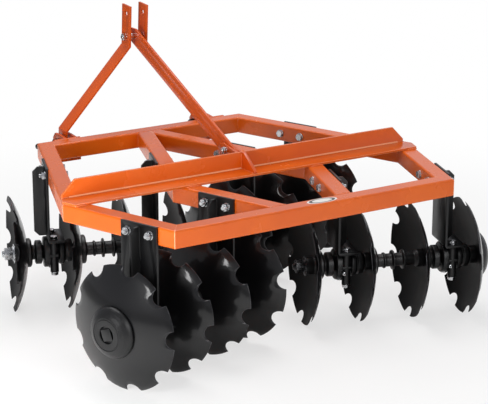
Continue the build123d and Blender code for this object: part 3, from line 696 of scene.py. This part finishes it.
bolts = []
for row, side in gangs:
    for k, step in enumerate((0, beam_step)):
        for y in (-45 * MM, 45 * MM):
            for p, q in bolt(plate + tube, 9 * MM):
                laid, q = to_x((p, q), roll=0.4 + k)
                at = laid + [step - plate, y, top_z - axle_z - 30 * MM]
                bolts.append((along_gang(at, row, side, beam=True), q))
        for y in (-42 * MM, 42 * MM):
            column_x = gang_table[row]["hub"] + gang_table[row]["way"] * (2 * pitch * k + column_at)
            for p, q in bolt(housing_down + housing_up + plate, 2 * MM):
                at = p + [column_x, y, -housing_down]
                bolts.append((along_gang(at, row, side, beam=True), q))
fastened = make_piece("hanger_bolts_and_nuts", bolts, zinc, "frame", sharp=28)
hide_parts("hanger_bolts")

# %% [markdown]
# ## The lower link pins and the bolts of the mast
# A link pin is turned steel with a chamfered nose and a collar against the bracket, and a nut holds it inside. The
# two bolts of the brace are plated like those of the hangers, on smaller washers, and two spacer tubes keep the
# brace in the middle between the ears.

# %% Link pins and mast bolts
for side, way in (("left", -1), ("right", 1)):
    body_line = soften(np.array([
        (238, 0.001), (238, 10), (240, 11), (318, 11), (318, 18), (319, 19), (330, 19), (331, 18), (331, 11),
        (398, 11), (404, 7.5), (404, 0.001)]) * MM, 0.8 * MM, 2)
    p, q = turned(body_line, 48)
    nut_p, nut_q = to_x(hexagon(18 * MM, 34 * MM, 60, both=True), (250 * MM, 0, 0))
    parts = [(np.stack([v[:, 0] * way, v[:, 1] + pin_y, v[:, 2] + pin_z], 1), f)
             for v, f in ((p, q), (nut_p, nut_q))]
    pin = make_piece(f"lower_link_pin_{side}", parts, dark_steel, "frame", sharp=30)
    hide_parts(f"lower_pin_{side}")

lean, ear_bolt_up = radians(4), 0.376        # the mast leans back, and its bolt stands this far up along it
ear_bolt = (pin_y - ear_bolt_up * sin(lean), pin_z + ear_bolt_up * cos(lean))
foot_bolt = (0.125 + shift_y, 0.573)
parts = []
for (y, z), half in ((ear_bolt, 38.5 * MM), (foot_bolt, 13 * MM)):
    for p, q in bolt(2 * half, 4 * MM, 12.5 * MM):
        laid, q = to_x((p, q), roll=0.2)
        parts.append((laid + [-half, y, z], q))
for x0, x1 in ((-30.5, -4), (4, 30.5)):
    tube_line = soften(np.array([(x0, 8), (x0, 11), (x1, 11), (x1, 8)]) * MM, 0.8 * MM, 2)
    p, q = turned(tube_line, 40, closed=True)
    parts.append((p + [0, ear_bolt[0], ear_bolt[1]], q))
mast_fastened = make_piece("mast_bolts_and_spacers", parts, zinc, "frame", sharp=28)
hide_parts("mast_bolts")

# %% [markdown]
# ## Root of the cross angle
# A rolled angle has a rounded root between its legs. It sweeps through every tilt from flat to upright, so it
# always shows one thin bright line along the whole section; the orange enamel adds a painted highlight along the
# strip's edges, which makes that line paler. On a rolled angle of this size it has a radius of about 10 mm; this
# one was made smaller, because a larger one put the line too high.

# %% Root radius
cross_front, cross_thick, cross_rear = 40 * MM, 8 * MM, -52 * MM    # of the cross angle, along y
root_r, root_reach = 3.6 * MM, 0.66
corner_y, corner_z = cross_front - cross_thick + shift_y, top_z + cross_thick
arc = np.radians(np.linspace(0, -90, 9))
ring = np.stack([corner_y - root_r + root_r * np.cos(arc), corner_z + root_r + root_r * np.sin(arc)], 1)
ring = np.vstack([ring, [[corner_y + 0.5 * MM, corner_z - 0.5 * MM]]])
end = ring * 0 + ring.mean(0)               # each end closes on the middle of the ring
rows = [(x, ring) for x in np.linspace(-root_reach, root_reach, 9)]
rows = [(-root_reach, end), *rows, (root_reach, end)]
pts = np.stack([np.column_stack([np.full(len(yz), x), yz]) for x, yz in rows])
make_piece("cross_angle_root", [(pts.reshape(-1, 3), grid_faces(len(rows), len(ring)))], orange_paint, "frame",
           sharp=50)

# %% [markdown]
# ## Weld beads
# The tubes are cut at an angle and welded, and each bead shows as a raised, scaly line under the paint. A bead is
# a thin tube carried along a straight seam. Its radius swells and sinks every 4 mm, which is how far the welder
# moves between two pulses, and its path wanders by 0.4 mm to each side.

# %% Weld beads
def bead(a, b, radius=3.2 * MM, step=4 * MM, seed=0):
    """Grid round the straight line from a to b. Formula: radius (0.8 + 0.2 |sin(pi s / step)|), the centre moved
    sideways by 0.4 mm times the sine of s / 17 mm, both ends drawn to a point by a square root."""
    a, b = np.array(a, float), np.array(b, float)
    length = np.linalg.norm(b - a)
    along = (b - a) / length
    side = np.cross(along, [0, 0, 1.0] if abs(along[2]) < 0.9 else [1.0, 0, 0])
    side /= np.linalg.norm(side)
    up = np.cross(side, along)
    s = np.linspace(0, length, max(int(length / step * 3), 8))
    taper = np.sqrt(np.clip(np.minimum(s, length - s) / (2 * radius), 0, 1))
    r = radius * (0.8 + 0.2 * np.abs(np.sin(pi * s / step + seed))) * taper
    ang = 2 * pi * np.arange(10) / 10
    drift = 0.4 * MM * np.sin(s / (17 * MM) + seed)
    centre = a + s[:, None] * along + drift[:, None] * side
    pts = centre[:, None] + r[:, None, None] * (np.cos(ang)[None, :, None] * side + np.sin(ang)[None, :, None] * up)
    return pts.reshape(-1, 3), grid_faces(len(s), 10)


def mirror_x(part):
    """The same part on the other side of the middle plane."""
    return part[0] * [-1, 1, 1], part[1]


slant = tan(radians(slant_deg))
# outer corners of the frame's left side, seen from above: front, side and rear
A = (-(half_mid - front_length * slant), front_length)
F = (-half_mid, 0.0)
E = (-(half_mid - rear_length * slant), -rear_length)


seams = []


def seam(x0, y0, z0, x1, y1, z1, r=3.2):
    """Adds a bead between two points whose y is measured from the side corners; r is in millimetres."""
    seams.append(bead((x0, y0 + shift_y, z0), (x1, y1 + shift_y, z1), r * MM, seed=x0 * 7 + y0))


wide = tube / cos(radians(slant_deg))               # a slanted tube's width, measured along x
inner_x = -(half_mid - beam_step / cos(radians(slant_deg)))
low_z = top_z - tube
front_in, rear_in = front_length - tube, tube - rear_length        # inner faces of the front and rear beams
# mitres of the frame's corners: over the top, under the bottom, and up the inner corner
in_a = (A[0] + wide - tube * slant, front_in)
in_e = (E[0] + wide - tube * slant, rear_in)
in_f = (F[0] + wide, 0.0)
outer_gap, inner_gap = 8 * MM, 5 * MM
for (ox, oy), (ix, iy) in ((A, in_a), (E, in_e), (F, in_f)):
    dx, dy = ix - ox, iy - oy
    far = np.hypot(dx, dy)
    ux, uy = dx / far, dy / far
    start_x, start_y = ox + ux * outer_gap, oy + uy * outer_gap
    stop_x, stop_y = ix - ux * inner_gap, iy - uy * inner_gap
    for z in (top_z - 2.6 * MM, low_z + 2.6 * MM):
        seam(start_x, start_y, z, stop_x, stop_y, z)
    near_x, near_y = ix - ux * 1 * MM, iy - uy * 1 * MM
    seam(near_x, near_y, low_z + 6 * MM, near_x, near_y, top_z - 6 * MM)
# inner beams against the front and rear beams
g_front = inner_x + front_in * slant
h_rear = inner_x - rear_in * slant
for gx, gy in ((g_front, front_in), (h_rear, rear_in)):
    for x in (gx, gx + wide):
        if x < 0:
            seam(x, gy, low_z + 4 * MM, x, gy, top_z - 4 * MM)
    right_end = min(gx + wide, -2 * MM)
    seam(gx + 6 * MM, gy, top_z - 2 * MM, right_end, gy, top_z - 2 * MM)
    seam(gx + 6 * MM, gy, low_z + 2 * MM, right_end, gy, low_z + 2 * MM)
# cross angle on the beams: short runs on its front and rear edges over each tube
for x0, x1 in ((-0.682, -0.64), (inner_x + 0.022, inner_x + 0.07)):
    for y in (cross_front + 1.5 * MM, cross_rear - 1.5 * MM):
        seam(x0, y, top_z + 1 * MM, x1, y, top_z + 1 * MM, 3.6)
# brackets: the back plate's upper edge on the front beam, and the cheeks on the back plate
plate_top_y, cheek_foot_y = 0.7385, 0.7507
seam(-0.361, plate_top_y, top_z - 1.5 * MM, -0.258, plate_top_y, top_z - 1.5 * MM, 3.0)
for x in (-0.3187, -0.3073, -0.2787, -0.2673):      # both sides of both cheeks
    seam(x, cheek_foot_y, top_z - 80 * MM, x, cheek_foot_y, top_z - 6 * MM, 2.4)
# gusset and lugs at the middle of the cross angle
seam(-7 * MM, 0.030, top_z + 14 * MM, -7 * MM, 0.030, top_z + 60 * MM, 2.6)
seam(-7 * MM, 0.026, top_z + 9 * MM, -7 * MM, -0.044, top_z + 9 * MM, 2.6)
seam(-14 * MM, 0.0415, top_z + 14 * MM, -14 * MM, 0.0415, top_z + 54 * MM, 2.6)
seams = seams + [mirror_x(s) for s in seams]
make_piece("frame_weld_beads", seams, orange_paint, "frame", sharp=60)

black_seams = []
for row, side in gangs:
    for step in (0, beam_step):
        for y in (-4.6, 4.6):
            for high, low in ((-12, -118), (-160, -218)):
                ends = [(step - 8.6 * MM, y * MM, top_z - axle_z + h * MM) for h in (high, low)]
                p, q = bead(*ends, 3.0 * MM, seed=y + high)
                black_seams.append((along_gang(p, row, side, beam=True), q))
make_piece("hanger_weld_beads", black_seams, plate_paint, "frame", sharp=60)

# %% [markdown]
# ## A blank label
# A small oval vinyl label lies on the rear beam's upper face. It carries nothing but a plain dark ring, drawn a
# little inside its rim. It is a flat grid of rings that stands a quarter of a millimetre above the paint.

# %% Label
def vinyl():
    """White vinyl with a dark ring: the distance from the label's middle, measured in its own ellipse, picks the
    colour by a narrow ramp; the label is 114 by 46 mm."""
    m, t, out, where = blank_material("white_vinyl_label")
    moved = add_node(t, "Mapping", {"vector_type": "POINT"}, Vector=where)
    moved.inputs["Location"].default_value = (-label_at[0] / label_half[0], -label_at[1] / label_half[1], 0)
    moved.inputs["Scale"].default_value = (1 / label_half[0], 1 / label_half[1], 0)
    away = add_node(t, "VectorMath", {"operation": "LENGTH"}, i0=moved.outputs[0])
    ramp = add_node(t, "ValToRGB", Fac=away.outputs["Value"])
    for stop, at, code in zip(ramp.color_ramp.elements, (0.66, 0.88), ("#E9E7E2", "#EDEBE6")):
        stop.position, stop.color = at, hex_linear(code)
    for at in (0.68, 0.86):
        ramp.color_ramp.elements.new(at).color = hex_linear("#161514")
    grain = add_node(t, "TexNoise", Vector=where, Scale=700.0, Detail=2.0)
    bump = add_node(t, "Bump", Strength=0.08, Distance=0.0003, Height=grain.outputs["Fac"])
    film = add_node(t, "BsdfPrincipled", Base_Color=ramp.outputs["Color"], Roughness=0.35,
                    Normal=bump.outputs["Normal"], IOR=1.46)
    t.links.new(film.outputs[0], out.inputs[0])
    return m


label_at, label_half = (0.022, tube / 2 - rear_length + shift_y), (0.057, 0.023)
rings, around = np.array([0, 0.3, 0.6, 0.8, 0.95, 1.0, 1.0]), 48
ang = 2 * pi * np.arange(around) / around
z = np.array([0.25, 0.25, 0.25, 0.25, 0.25, 0.2, -0.2]) * MM + top_z
x = label_at[0] + rings[:, None] * label_half[0] * np.cos(ang)
y = label_at[1] + rings[:, None] * label_half[1] * np.sin(ang)
pts = np.stack([x, y, z[:, None] + 0 * ang], -1).reshape(-1, 3)
under = pts[-around:] * [1, 1, 0] + [0, 0, top_z - 0.2 * MM]
centre = under * 0 + [label_at[0], label_at[1], top_z - 0.2 * MM]
make_piece("blank_oval_label", [(np.vstack([pts, centre]), grid_faces(len(rings) + 1, around))], vinyl(), "frame",
           sharp=30)

# %% [markdown]
# ## Floor, light and camera
# The harrow stands on a white studio floor that runs into a white backdrop, with a soft shadow under it. What a
# glossy face mirrors is set apart from what lights it: the floor fades with distance and the backdrop grows
# brighter to the right. Two large lamps light it all, a narrow strip gives the discs their glints, and a small
# lamp close to the left side, unseen in reflections, lights that side more strongly than the rest. The camera
# looks from the rear left, a little above.

# %% Floor, light and camera
floor_mesh = bpy.data.meshes.new("studio_floor")
floor_mesh.from_pydata([(-30, -30, 0), (30, -30, 0), (30, 30, 0), (-30, 30, 0)], [], [(0, 1, 2, 3)])
floor = bpy.data.objects.new("studio_floor", floor_mesh)
show_in_scene(floor)
m, t, out, where = blank_material("white_studio_floor")
matt = add_node(t, "BsdfDiffuse", Color=hex_linear("#F4F4F4"))
seen = add_node(t, "LightPath")
away = add_node(t, "VectorMath", {"operation": "LENGTH"}, i0=where)
dim = add_node(t, "MapRange", {"interpolation_type": "SMOOTHSTEP"}, Value=away.outputs["Value"],
               From_Min=1.8, From_Max=3.2, To_Min=1.15, To_Max=0.12)
level = add_node(t, "Mix", {"data_type": "FLOAT"}, i0=seen.outputs["Is Glossy Ray"], i2=1.0,
                 i3=dim.outputs["Result"])
glow = add_node(t, "Emission", Color=(1, 1, 1, 1), Strength=level.outputs[0])
white = add_node(t, "MapRange", {"interpolation_type": "SMOOTHSTEP"}, Value=away.outputs["Value"],
                 From_Min=1.1, From_Max=2.6, To_Min=0.62, To_Max=1.0)
mirrored = add_node(t, "MapRange", {"interpolation_type": "SMOOTHSTEP"}, Value=away.outputs["Value"],
                    From_Min=0.7, From_Max=1.7, To_Min=0.0, To_Max=1.0)
looked = add_node(t, "Math", {"operation": "MULTIPLY"}, i0=seen.outputs["Is Camera Ray"],
                  i1=white.outputs["Result"])
bounced = add_node(t, "Math", {"operation": "MULTIPLY"}, i0=seen.outputs["Is Glossy Ray"],
                   i1=mirrored.outputs["Result"])
part = add_node(t, "Math", {"operation": "ADD"}, i0=looked.outputs[0], i1=bounced.outputs[0])
both = add_node(t, "MixShader", i0=part.outputs[0], i1=matt.outputs[0], i2=glow.outputs[0])
t.links.new(both.outputs[0], out.inputs[0])
floor_mesh.materials.append(m)

world = bpy.data.worlds.new("white_studio")
bpy.context.scene.world = world
world.use_nodes = True
wt = world.node_tree
wt.nodes.clear()
seen = add_node(wt, "LightPath")
show = add_node(wt, "Math", {"operation": "MAXIMUM"}, i0=seen.outputs["Is Camera Ray"],
                i1=seen.outputs["Is Transmission Ray"])
ambient = add_node(wt, "Background", Color=(1, 1, 1, 1), Strength=0.34)
heading = add_node(wt, "TexCoord").outputs["Generated"]
apart = add_node(wt, "SeparateXYZ", Vector=heading)
paler = add_node(wt, "MapRange", {"interpolation_type": "SMOOTHSTEP"}, Value=apart.outputs["X"],
                 From_Min=0.25, From_Max=0.7, To_Min=0.38, To_Max=0.85)
gloss = add_node(wt, "Background", Color=(0.93, 0.94, 1, 1), Strength=paler.outputs["Result"])
white = add_node(wt, "Background", Color=(1, 1, 1, 1), Strength=1.0)
first = add_node(wt, "MixShader", i0=seen.outputs["Is Glossy Ray"], i1=ambient.outputs[0],
                 i2=gloss.outputs[0])
second = add_node(wt, "MixShader", i0=show.outputs[0], i1=first.outputs[0], i2=white.outputs[0])
world_out = add_node(wt, "OutputWorld")
wt.links.new(second.outputs[0], world_out.inputs[0])


def soft_lamp(name, where, aim, wide, high, watts, mirrored=True):
    """A rectangular area lamp at where, turned so that its -z axis points at aim. With mirrored off, glossy
    surfaces don't show it."""
    data = bpy.data.lights.new(name, "AREA")
    data.shape, data.size, data.size_y, data.energy = "RECTANGLE", wide, high, watts
    obj = bpy.data.objects.new(name, data)
    obj.location = where
    obj.rotation_euler = (Vector(aim) - Vector(where)).to_track_quat("-Z", "Y").to_euler()
    obj.visible_glossy = mirrored
    show_in_scene(obj)


soft_lamp("left_fill", (-1.8, -0.86, 0.42), (-0.3, -0.3, 0.4), 0.7, 0.7, 21, mirrored=False)
soft_lamp("left_strip", (-4.5, -1.6, 1.8), (0, 0, 0.3), 0.45, 1.2, 26)
soft_lamp("rear_softbox", (-0.3, -5.0, 2.6), (0, 0, 0.3), 2.4, 2.4, 78)
soft_lamp("overhead_softbox", (0.4, 1.2, 4.2), (0, 0, 0.4), 3.0, 3.0, 106)

camera = bpy.data.cameras.new("photo_view")
photo_wide, focal_px, sensor = 488, 1691.35, 36.0      # width and focal length in the photograph's pixels
camera.sensor_fit, camera.sensor_width, camera.lens = "HORIZONTAL", sensor, focal_px * sensor / photo_wide
camera.clip_start, camera.clip_end = 0.1, 100
eye = bpy.data.objects.new("photo_view", camera)
show_in_scene(eye)
az, el, roll = radians(-32.48), radians(16.62), radians(0.07)
back = Vector((sin(az) * cos(el), -cos(az) * cos(el), sin(el)))
right = Vector((cos(az), sin(az), 0))
up = back.cross(right)
turned_right = right * cos(roll) + up * sin(roll)
turned_up = up * cos(roll) - right * sin(roll)
eye_at = (-2.9785, -4.65393 + shift_y, 2.0661)
eye.matrix_world = Matrix((*[(turned_right[i], turned_up[i], back[i], eye_at[i]) for i in range(3)], (0, 0, 0, 1)))
bpy.context.scene.camera = eye
bpy.context.scene.view_settings.view_transform = "Standard"
